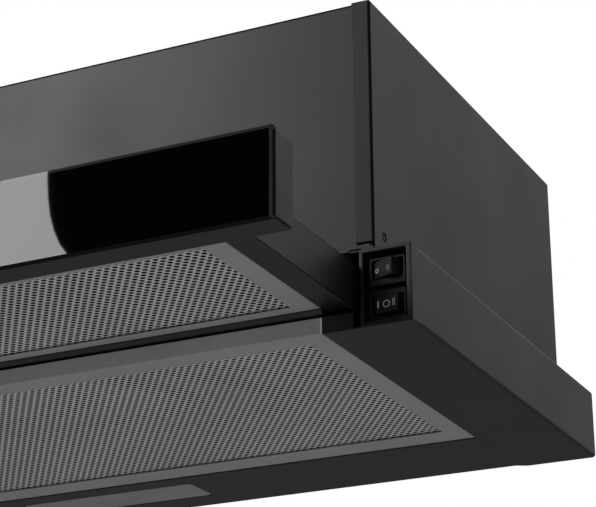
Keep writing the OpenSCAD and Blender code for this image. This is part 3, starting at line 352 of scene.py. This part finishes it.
class Builder:
    """Closed solids in base millimetres, gathered into one mesh."""

    def __init__(self, turn=None):
        self.shape = bmesh.new()
        self.turn = turn or Matrix.Identity(4)  # applied to each point before it goes to the row's frame

    def ring(self, points):
        """Vertices for a list of points."""
        return [self.shape.verts.new(to_row(*(self.turn @ Vector(p)))) for p in points]

    def between(self, one, two):
        """A band of faces between two rings."""
        for k, vert in enumerate(one):
            after = (k + 1) % len(one)
            self.shape.faces.new((vert, one[after], two[after], two[k]))

    def loft(self, *loops):
        """A solid through loops of points, closed at both ends."""
        rings = [self.ring(loop) for loop in loops]
        for one, two in zip(rings, rings[1:]):
            self.between(one, two)
        self.shape.faces.new(rings[0])
        self.shape.faces.new(rings[-1])

    def slab_y(self, loop, low, high):
        """A plate with an outline in x and z between two values of y."""
        self.loft([(x, low, z) for x, z in loop], [(x, high, z) for x, z in loop])

    def slab_z(self, loop, low, high):
        """A plate with an outline in x and y between two values of z."""
        self.loft([(x, y, low) for x, y in loop], [(x, y, high) for x, y in loop])

    def tube(self, outer, inner):
        """A plate with an opening, from two loops of points for its outline and two for the opening."""
        outer, inner = [[self.ring(loop) for loop in loops] for loops in (outer, inner)]
        self.between(*outer)
        self.between(*inner)
        self.between(outer[0], inner[0])
        self.between(outer[1], inner[1])

    def frame_x(self, loop, hole, low, high):
        """A plate with an outline and an opening of as many corners, in y and z, between two values of x."""
        self.tube(*([[(x, y, z) for y, z in points] for x in (low, high)] for points in (loop, hole)))

    def frame_y(self, loop, hole, low, high):
        """A plate with an outline and an opening of as many corners, in x and z, between two values of y."""
        self.tube(*([[(x, y, z) for x, z in points] for y in (low, high)] for points in (loop, hole)))

    def mesh(self, name):
        """The finished mesh with its faces turned outward."""
        bmesh.ops.recalc_face_normals(self.shape, faces=self.shape.faces)
        made = bpy.data.meshes.new(name)
        self.shape.to_mesh(made)
        self.shape.free()
        return made


def side_builder(side):
    """A builder for a piece given as it is on the right, with side -1 for its mirror image on the left."""
    return Builder(Matrix.Diagonal((side, 1, 1, 1)))


# ---- CAD shapes with their edges rounded, in millimetres ----
SOFT_EDGES = {
    "base_pan": 0.25, "upper_side_right": 0.25, "upper_side_left": 0.25, "upper_front_panel": 0.25,
    "upper_back_panel": 0.25, "upper_top_panel": 0.25, "front_beam": 0.25, "housing_rivets": 0.25,
    "main_filter_frame": 0.25, "main_filter_latch": 0.25,
    "drawer_filter_frame": 0.25, "drawer_filter_latch": 0.25,
    "drawer_front_profile": 0.3, "drawer_end_cap_right": 0.3, "drawer_end_cap_left": 0.3,
    "drawer_frame": 0.25, "drawer_cover": 0.25,
    "lamp_lens": 0.4, "duct_collar": 0.5, "cable_gland": 0.5, "flap_front": 0.3, "flap_rear": 0.3,
}

# Shapes that differ a little from the source, in base millimetres
FOOT_RISE = 1.8
FOOT_BELOW, BEAM_ABOVE = 40.6, 39
PROFILE_FRONT = -143
BEND_CENTRE, BEND_INSIDE = (275.9, 4.6), 2.3
BEND_FROM = (275.85, 4.7)
BEND_CORNER, BEND_SCALE = (278.5, 2), 0.45
STRIP_TO, STRIP_LEAN = (276, 3.5), 0.035
SIDE_TOP, SIDE_TOP_ABOVE = 176.15, 174.9


def raise_foot(x, y, z):
    """The upper front panel ends a little higher."""
    return x, y, z + FOOT_RISE * (z < FOOT_BELOW)


def raise_beam(x, y, z):
    """The beam's top follows the panel's foot."""
    return x, y, z + FOOT_RISE * (z > BEAM_ABOVE)


def no_lip(x, y, z):
    """The front profile has no lip round the glass, which covers its whole front."""
    return x, max(y, PROFILE_FRONT), z


def lean_strip(x, y, z):
    """The side panel's front strip leans forward at its free edge and joins the side in a tight bend, and the
    panel's top is level with the top plate."""
    side, across = math.copysign(1, x), abs(x)
    outside = math.hypot(across - BEND_CENTRE[0], y - BEND_CENTRE[1]) > BEND_INSIDE
    if across > BEND_FROM[0] and y < BEND_FROM[1] and outside:
        across = BEND_CORNER[0] - BEND_SCALE * (BEND_CORNER[0] - across)
        y = BEND_CORNER[1] + BEND_SCALE * (y - BEND_CORNER[1])
    elif across < STRIP_TO[0] and y < STRIP_TO[1]:
        y -= STRIP_LEAN * (STRIP_TO[0] - across)
    return side * across, y, SIDE_TOP if z > SIDE_TOP_ABOVE else z


RESHAPED = {"upper_front_panel": raise_foot, "front_beam": raise_beam, "drawer_front_profile": no_lip,
            "upper_side_right": lean_strip, "upper_side_left": lean_strip}

# ---- Drawer front: a glass plate, printed black inside a narrow clear border ----
GLASS_BACK, GLASS_EDGE, GLASS_FRONT = -143.5, -146.25, -146.5
GLASS_HALF, GLASS_LOW, GLASS_TOP = 297.9, 0.3, 42.0
PRINT_HALF, PRINT_TOP = 296.2, 40.5
GLASS_BEVEL = 0.25


def front_glass():
    """The two pieces of the plate: the printed field, and the border above it and at its ends."""
    field_loops, border_loops = [], []
    for y, cut in ((GLASS_BACK, 0), (GLASS_EDGE, 0), (GLASS_FRONT, GLASS_BEVEL)):
        low, top, half = GLASS_LOW + cut, GLASS_TOP - cut, GLASS_HALF - cut
        field = box_loop(-PRINT_HALF, PRINT_HALF, low, PRINT_TOP)
        border = [(-half, low), (-PRINT_HALF, low), (-PRINT_HALF, PRINT_TOP), (PRINT_HALF, PRINT_TOP),
                  (PRINT_HALF, low), (half, low), (half, top), (-half, top)]
        field_loops.append([(x, y, z) for x, z in field])
        border_loops.append([(x, y, z) for x, z in border])
    plates = [("drawer_glass_field", field_loops, "black_glass", ["drawer_front_glass"]),
              ("drawer_glass_border", border_loops, "glass_border", [])]
    for name, loops, material, replaced in plates:
        made = Builder()
        made.loft(*loops)
        new_object(name, made.mesh(name), material, "drawer", "black_glass", *replaced)


# ---- Small pieces at both ends, mostly painted shade in gaps and bends and painted highlights on edges: material, body, slot, and slabs with an outline in x and y ----
END_PIECES = {
    "glass_end_shade": ("painted_shade", "drawer", "black_glass", [
        (box_loop(296.5, 298.35, -146.1, -143.2), 0.6, 39.4),  # painted shade in the gap between the glass and its end cap
        (box_loop(268.8, 269.06, -127.5, -4), 9.8, 10.3),  # painted shadow line along the drawer's arm
    ]),
    "corner_shade": ("painted_shade", "housing", "black_paint", [
        (box_loop(278.2, 278.56, 2.1, 3.7), 42, 176),  # painted shade down the corner bend
        (box_loop(266, 271.3, 0.2, 3), 39.15, 40.9),  # painted shade below the front panel's end
        (box_loop(269.3, 276.8, 2.45, 3.2), 44.1, 45),  # painted shadow below the strip's end
        ([(269.3, 1.72), (277.4, 1.95), (277.4, 2.4), (269.3, 2.4)], 175.75, 176.1),  # painted shade line on the strip's top
    ]),
    "panel_foot": ("black_paint", "housing", "black_paint", [
        (box_loop(271.4, 278, 2.76, 4.5), 39.4, 42.6),
    ]),
    # painted highlight on the right end of the filter's riser
    "filter_corner_highlight": ("filter_edge", "housing", "filter_frame", [
        (round_loop(250.05, 251.1, -0.06, 1.1, 0.4), 0.9, 8.5),
    ]),
    # painted highlight along the side strip's free edge
    "strip_edge_highlight": ("worn_edge", "housing", "black_paint", [
        (box_loop(268.9, 269.35, 1.68, 2.5), 45.3, 175.7),
    ]),
}
RIVET_YZ, RIVET_RING_R, RIVET_RING_X = (15.7, 50.9), (2.4, 1.95), (278, 278.62)


def make_end_pieces():
    """The small pieces at both ends, mostly painted shade and painted highlights, and a painted shade line
    along the front panel's top.
    """
    for side, ending in ((1, "_right"), (-1, "_left")):
        for name, (material, body, slot, slabs) in END_PIECES.items():
            made = side_builder(side)
            for loop, low, high in slabs:
                made.slab_z(loop, low, high)
            # A painted shade ring round each rivet, in the place of the groove's shadow.
            if name == "corner_shade":
                made.frame_x(*(circle_loop(*RIVET_YZ, r, r) for r in RIVET_RING_R), *RIVET_RING_X)
            new_object(name + ending, made.mesh(name), material, body, slot)
    # A painted shade line along the front panel's top.
    made = Builder()
    made.slab_z(box_loop(-268.8, 268.8, 2.7, 3.2), 174.85, 175.5)
    new_object("top_shade_line", made.mesh("top_shade_line"), "painted_shade", "housing", "black_paint")


# ---- Controls: two rocker switches in a recessed housing ----
HOUSING_X, HOUSING_Z = (271.4, 298.95), (0.15, 39.9)
HOUSING_Y = (-0.1, 9)
OPENING_X, OPENING_Z = (273.6, 296.0), (2.7, 38.0)
HOUSING_ROUND, HOUSING_BEVEL = 0.7, 0.6
PLATE_Y, BLANK_Y, PLATE_BACK, PLATE_EDGE = 6.6, 1.6, 8.6, 0.5
BEZEL_X, BEZEL_Z = (275.6, 294.5), {"light": (21.2, 35.4), "fan": (2.9, 18.5)}
BEZEL_Y, BEZEL_ROUND = (2.8, 14), 0.8
WELL_X, WELL_Z = (276.9, 293.3), {"light": (24.3, 34.3), "fan": (5.4, 15.9)}
WELL_ROUND = 1.0
SWITCH_Y, SWITCH_WALL, SWITCH_BEVEL = (13, 24), 0.4, 0.35
TAB_X, TAB_Y = (278.8, 285.2, 291.6), (24, 31)
TAB_HALF_X, TAB_HALF_Z, TAB_ROUND = 0.4, 2.4, 0.2
ROCKER_Z = {"light": (25.0, 34.0), "fan": (6.8, 15.6)}
ROCKER_W, ROCKER_REACH = {"light": 12.7, "fan": 12.0}, 5.4
ROCKER_PIVOT = {"light": (285.2, 6.7), "fan": (284.8, 6.7)}
ROCKER_TURN = {"light": -25, "fan": 0}
ROCKER_BEVEL = 0.45
# From the face to the back: how far the right end stands beyond half the face's width, and y
ROCKER_PROFILE = [(0, -ROCKER_REACH), (0.5, 2.5 - ROCKER_REACH), (0.7, -0.8), (0, 1.6), (-2.2, 3)]
PRINT_RAISED, PRINT_SUNK = 0.03, 0.1


def switch_housing(side):
    """The housing of the controls on the right, and the blank cover on the left."""
    made = side_builder(side)
    made.frame_y(round_loop(*HOUSING_X, *HOUSING_Z, HOUSING_ROUND),
                 round_loop(*OPENING_X, *OPENING_Z, HOUSING_ROUND), *HOUSING_Y)
    plate_x, plate_z = widened(OPENING_X, PLATE_EDGE), widened(OPENING_Z, PLATE_EDGE)
    made.slab_y(round_loop(*plate_x, *plate_z, HOUSING_ROUND), PLATE_Y if side > 0 else BLANK_Y, PLATE_BACK)
    node = "switch_housing" if side > 0 else "left_blank_cover"
    piece = new_object(node + "_soft", made.mesh(node), "dark_plastic", BODY_OF[node], SLOT_OF[node], node)
    bevel_edges(piece, HOUSING_BEVEL, 4)


def switch_body(kind):
    """A switch's bezel with a rounded well, the body behind it and its three tabs."""
    made = Builder()
    well_z = WELL_Z[kind]
    body_x, body_z = widened(WELL_X, SWITCH_WALL), widened(well_z, SWITCH_WALL)
    middle = sum(well_z) / 2
    tab_z = (middle - TAB_HALF_Z, middle + TAB_HALF_Z)
    made.frame_y(round_loop(*BEZEL_X, *BEZEL_Z[kind], BEZEL_ROUND), round_loop(*WELL_X, *well_z, WELL_ROUND),
                 *BEZEL_Y)
    made.slab_y(round_loop(*body_x, *body_z, WELL_ROUND), *SWITCH_Y)
    for x in TAB_X:
        made.slab_y(round_loop(x - TAB_HALF_X, x + TAB_HALF_X, *tab_z, TAB_ROUND, 2), *TAB_Y)
    node = kind + "_switch_body"
    piece = new_object(node + "_soft", made.mesh(node), "switch_plastic", BODY_OF[node], SLOT_OF[node], node)
    bevel_edges(piece, SWITCH_BEVEL)


def rocker_turn(kind):
    """The matrix from the rocker's own frame to the base: the pivot is at 0 and the face at -ROCKER_REACH."""
    x, y = ROCKER_PIVOT[kind]
    return Matrix.Translation((x, y, 0)) @ Matrix.Rotation(math.radians(ROCKER_TURN[kind]), 4, "Z")


def rocker(kind):
    """A rocker with a flat face, round ends and a tapering back."""
    made = Builder(rocker_turn(kind))
    right = [(ROCKER_W[kind] / 2 + beyond, y) for beyond, y in ROCKER_PROFILE]
    left = [(-x, y) for x, y in reversed(right)]
    made.slab_z(left[-1:] + right + left[:-1], *ROCKER_Z[kind])
    node = kind + "_rocker"
    piece = new_object(node + "_soft", made.mesh(node), "rocker_plastic", BODY_OF[node], SLOT_OF[node], node)
    bevel_edges(piece, ROCKER_BEVEL)


def symbols(kind, material, bars=(), rings=(), outlines=()):
    """Printed marks on a rocker's face, placed from the face's middle: bars (x, z, width, height),
    rings (x, z, radius, stroke) and closed outlines of points."""
    made = Builder(rocker_turn(kind))
    depth = -ROCKER_REACH - PRINT_RAISED, -ROCKER_REACH + PRINT_SUNK
    middle = sum(ROCKER_Z[kind]) / 2
    for x, z, width, height in bars:
        z += middle
        made.slab_y(box_loop(x - width / 2, x + width / 2, z - height / 2, z + height / 2), *depth)
    for x, z, radius, stroke in rings:
        outer, inner = [circle_loop(x, z + middle, r, r) for r in (radius, radius - stroke)]
        made.frame_y(outer, inner, *depth)
    for outline in outlines:
        made.slab_y([(x, z + middle) for x, z in outline], *depth)
    name = kind + "_rocker_" + material
    new_object(name, made.mesh(name), material, kind + "_rocker", "rocker_plastic")


BULB = circle_loop(3.75, -0.55, 1.25, 1.45)[:17]
BULB_FOOT = [(3.05, -2.4), (4.4, -2.4), (4.85, -1.2)]
LIGHT_RING = (-4.05, -0.4, 1.15, 0.42)
FAN_BARS = [(-4.3, -0.3, 0.65, 3.4), (3.35, 0.1, 0.3, 3.6), (4.15, 0.1, 0.3, 3.6)]
FAN_RING = (0.05, -0.4, 1.85, 0.4)


def make_controls():
    """Both housings, the two switches and their printed marks."""
    for side in (1, -1):
        switch_housing(side)
    for kind in ("light", "fan"):
        switch_body(kind)
        rocker(kind)
    symbols("light", "symbol_print", rings=[LIGHT_RING])
    symbols("light", "symbol_dim", outlines=[BULB + BULB_FOOT])
    symbols("fan", "symbol_print", bars=FAN_BARS, rings=[FAN_RING])


# ---- Perforated filter sheets: staggered rows of round holes ----
HOLE_STEP_X = 2.137 * MM  # half the pitch along a row
HOLE_STEP_Y = 3.01 * MM  # distance between two rows
HOLE_R = 1.4 * MM
HOLE_SIDES = 12
SHEET_T = 0.12 * MM
MICRON = 0.001 * MM
LATCH_ROOM_X = 20.5 * MM  # half the width that each sheet leaves free for its latch
LATCH_ROOM_Y = {"main_filter_lower_sheet": 18 * MM, "drawer_filter_sheet": 22 * MM}


def perforated_sheet(node):
    """A sheet with its holes at their real pitch, made of joined six-sided cells, in the place of a CAD sheet
    with fewer holes. No cell enters the latch's room at the sheet's front."""
    low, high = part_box(node)
    top = low.z + SHEET_T
    corner_x, corner_y = HOLE_STEP_X, (HOLE_STEP_Y ** 2 - HOLE_STEP_X ** 2) / (2 * HOLE_STEP_Y)
    tip_y = HOLE_STEP_Y - corner_y
    outline = [(0, tip_y), (corner_x, corner_y), (corner_x, -corner_y),
               (0, -tip_y), (-corner_x, -corner_y), (-corner_x, corner_y)]
    turns = [2 * math.pi * k / HOLE_SIDES for k in range(HOLE_SIDES)]
    hole = [(HOLE_R * math.sin(turn), HOLE_R * math.cos(turn)) for turn in turns]
    per_side = HOLE_SIDES // 6
    verts, faces, shared, walls = [], [], {}, {}

    def point(x, y):
        """The pair of a low and a high vertex at a corner, made once for all the cells that meet there."""
        key = (round(x / MICRON), round(y / MICRON))
        if key not in shared:
            shared[key] = len(verts)
            verts.extend([(x, y, low.z), (x, y, top)])
        return shared[key]

    rows = int((high.y - low.y - 2 * tip_y) / HOLE_STEP_Y)
    columns = int((high.x - low.x) / 2 / HOLE_STEP_X) - 1
    for row in range(rows + 1):
        y = low.y + tip_y + row * HOLE_STEP_Y
        for column in range(-columns, columns + 1):
            x = column * HOLE_STEP_X
            at_latch = abs(x) < LATCH_ROOM_X + corner_x and y - low.y < LATCH_ROOM_Y[node]
            if (row + column) % 2 or at_latch:
                continue
            ring = [point(x + dx, y + dy) for dx, dy in outline]
            first = len(verts)
            for dx, dy in hole:
                verts.extend([(x + dx, y + dy, low.z), (x + dx, y + dy, top)])
            for side in range(6):
                a, b = ring[side], ring[(side + 1) % 6]
                inner = [first + 2 * ((side * per_side + k) % HOLE_SIDES) for k in range(per_side, -1, -1)]
                faces.append([a, b] + inner)
                faces.append([v + 1 for v in reversed([a, b] + inner)])
                if (b, a) in walls:
                    del walls[(b, a)]
                else:
                    walls[(a, b)] = (b, a, a + 1, b + 1)
            for k in range(HOLE_SIDES):
                a, b = first + 2 * k, first + 2 * ((k + 1) % HOLE_SIDES)
                faces.append((a, b, b + 1, a + 1))
    faces.extend(walls.values())
    mesh = bpy.data.meshes.new(node + "_fine")
    mesh.from_pydata(verts, [], faces)
    mesh.validate()
    new_object(node + "_fine", mesh, SLOT_OF[node], BODY_OF[node], SLOT_OF[node], node)


# ---- Stage: a floor and a world that look white to the camera, and softboxes ----
FLOOR_SIZE, FLOOR_Z = 40, -1.1
FLOOR_NEAR, FLOOR_FAR = 0.9, 0.36  # share of the light that it gives back below the hood, and far from it
FAR_TOWARD, FAR_SPAN = (-0.5, 0.86, 0), (-0.5, 2.0)  # where far lies, and over which metres the share changes
FLOOR_SEEN, FLOOR_GLOW = 0.8, 0.55  # the floor's level and glow for the camera alone


def make_stage():
    """A pale floor well below the camera, which can be seen through from below."""
    bpy.ops.mesh.primitive_plane_add(size=FLOOR_SIZE, location=(0, 0, FLOOR_Z))
    floor = bpy.context.object
    floor.name = "floor"
    shader = Shader("floor", grey(FLOOR_SEEN), 0.8)
    geometry = shader.add("ShaderNodeNewGeometry").outputs
    place = geometry["Position"]
    along = shader.add("ShaderNodeVectorMath", {0: place, 1: FAR_TOWARD}, operation="DOT_PRODUCT")
    level = shader.span(along.outputs["Value"], FAR_SPAN, (FLOOR_NEAR, FLOOR_FAR))
    camera_ray = shader.add("ShaderNodeLightPath").outputs["Is Camera Ray"]
    seen = shader.add("ShaderNodeMix", {"Factor": camera_ray, "A": level, "B": FLOOR_SEEN}, data_type="FLOAT")
    shader.feed("Base Color", seen.outputs["Result"])
    glow = shader.add("ShaderNodeMath", {0: camera_ray, 1: FLOOR_GLOW}, operation="MULTIPLY")
    shader.main.inputs["Emission Color"].default_value = WHITE
    shader.feed("Emission Strength", glow.outputs[0])
    clear = shader.add("ShaderNodeBsdfTransparent").outputs[0]
    surface = shader.main.outputs[0]
    mixer = shader.add("ShaderNodeMixShader", {0: geometry["Backfacing"], 1: surface, 2: clear})
    shader.tree.links.new(mixer.outputs[0], shader.tree.nodes["Material Output"].inputs["Surface"])
    floor.data.materials.append(shader.material)


# Directions in the studio, and the light that reaches the hood from each, where 1 is white
TO_TOP, TO_BOTTOM, TO_BACK, TO_FRONT_RIGHT = (0, 0, 1), (0, -0.3, -1), (0.35, 0.94, 0), (0.66, -0.75, 0)
LIGHT_FRONT, LIGHT_FRONT_RIGHT = 0.01, 0.14
LIGHT_BACK_LOW, LIGHT_BACK, LIGHT_BACK_HIGH = 0.2, 0.46, 0.9
LIGHT_BELOW, LIGHT_ABOVE = 0.7, 0.6


def make_world():
    """White for the camera; for the light, dark in front of the hood and brighter behind, above and below."""
    world = bpy.data.worlds.new("world")
    bpy.context.scene.world = world
    world.use_nodes = True
    tree = world.node_tree
    tree.nodes.clear()
    view = add_node(tree, "ShaderNodeTexCoord").outputs["Generated"]

    def blend(direction, low, high, first, second):
        """A number that runs smoothly from first to second as the view's share along a direction goes from
        low to high."""
        share = add_node(tree, "ShaderNodeVectorMath", {0: view, 1: direction}, operation="DOT_PRODUCT")
        value = add_node(tree, "ShaderNodeMapRange",
                         {"Value": share.outputs["Value"], "From Min": low, "From Max": high},
                         interpolation_type="SMOOTHSTEP").outputs["Result"]
        mix = add_node(tree, "ShaderNodeMix", {"Factor": value, "A": first, "B": second}, data_type="FLOAT")
        return mix.outputs["Result"]

    back = blend(TO_TOP, -0.3, 0.15, LIGHT_BACK_LOW, LIGHT_BACK)
    back = blend(TO_TOP, 0.3, 0.6, back, LIGHT_BACK_HIGH)
    front = blend(TO_FRONT_RIGHT, 0.7, 0.9, LIGHT_FRONT, LIGHT_FRONT_RIGHT)
    level = blend(TO_BACK, 0.25, 0.75, front, back)
    level = blend(TO_BOTTOM, 0.1, 0.7, level, LIGHT_BELOW)
    level = blend(TO_TOP, 0.75, 0.95, level, LIGHT_ABOVE)
    lit = add_node(tree, "ShaderNodeBackground", {"Strength": level}).outputs[0]
    seen = add_node(tree, "ShaderNodeBackground", {"Color": WHITE}).outputs[0]
    camera_ray = add_node(tree, "ShaderNodeLightPath").outputs["Is Camera Ray"]
    mixer = add_node(tree, "ShaderNodeMixShader", {0: camera_ray, 1: lit, 2: seen})
    add_node(tree, "ShaderNodeOutputWorld", {"Surface": mixer.outputs[0]})


# Outline of the softbox in X and Z, in metres: its right edge flares at the foot
SOFTBOX_Y = -1.8
SOFTBOX = [(-0.792, 0.69), (-0.830, 0.741), (-0.840, 0.762), (-0.848, 0.788), (-0.852, 0.812),
           (-0.855, 0.845), (-0.855, 2.2), (-2.3, 2.2), (-2.3, 0.69)]
SOFTBOX_LEVEL = 7.2
# A small panel low on the right that lights the filters from the camera's side
LOW_PANEL = [(0.85, -0.4, -0.4), (0.7, -0.6, -0.4), (0.7, -0.6, -0.2), (0.85, -0.4, -0.2)]
LOW_PANEL_LEVEL = 2.4


def light_panel(name, corners, level):
    """A glowing sheet that the camera doesn't see."""
    mesh = bpy.data.meshes.new(name)
    mesh.from_pydata(corners, [], [list(range(len(corners)))])
    panel = bpy.data.objects.new(name, mesh)
    bpy.context.collection.objects.link(panel)
    panel.visible_camera = False
    shader = Shader(name, grey(0), 1, Emission_Color=WHITE, Emission_Strength=level)
    mesh.materials.append(shader.material)


def make_lights():
    """One large softbox in front of the hood on its left, and a small low panel on its right."""
    light_panel("softbox", [(x, SOFTBOX_Y, z) for x, z in SOFTBOX], SOFTBOX_LEVEL)
    light_panel("low_panel", LOW_PANEL, LOW_PANEL_LEVEL)


MATERIALS = make_materials()
make_camera()
make_stage()
make_world()
make_lights()

for node_name, node_object in frame["nodes"].items():
    slot = "filter_core" if node_name in ("main_filter_core", "drawer_filter_core") else SLOT_OF[node_name]
    node_object.data.materials.clear()
    node_object.data.materials.append(MATERIALS[slot])

for node_name, edge in SOFT_EDGES.items():
    soften(node_name, edge, RESHAPED.get(node_name))
bpy.data.objects["front_beam_soft"].data.materials[0] = MATERIALS["painted_shade"]  # painted shade: the beam is made near-black so that it reads as the shaded gap above the drawer
front_glass()
make_end_pieces()
make_controls()
for sheet in LATCH_ROOM_Y:
    perforated_sheet(sheet)

bpy.context.scene.view_settings.view_transform = "Standard"
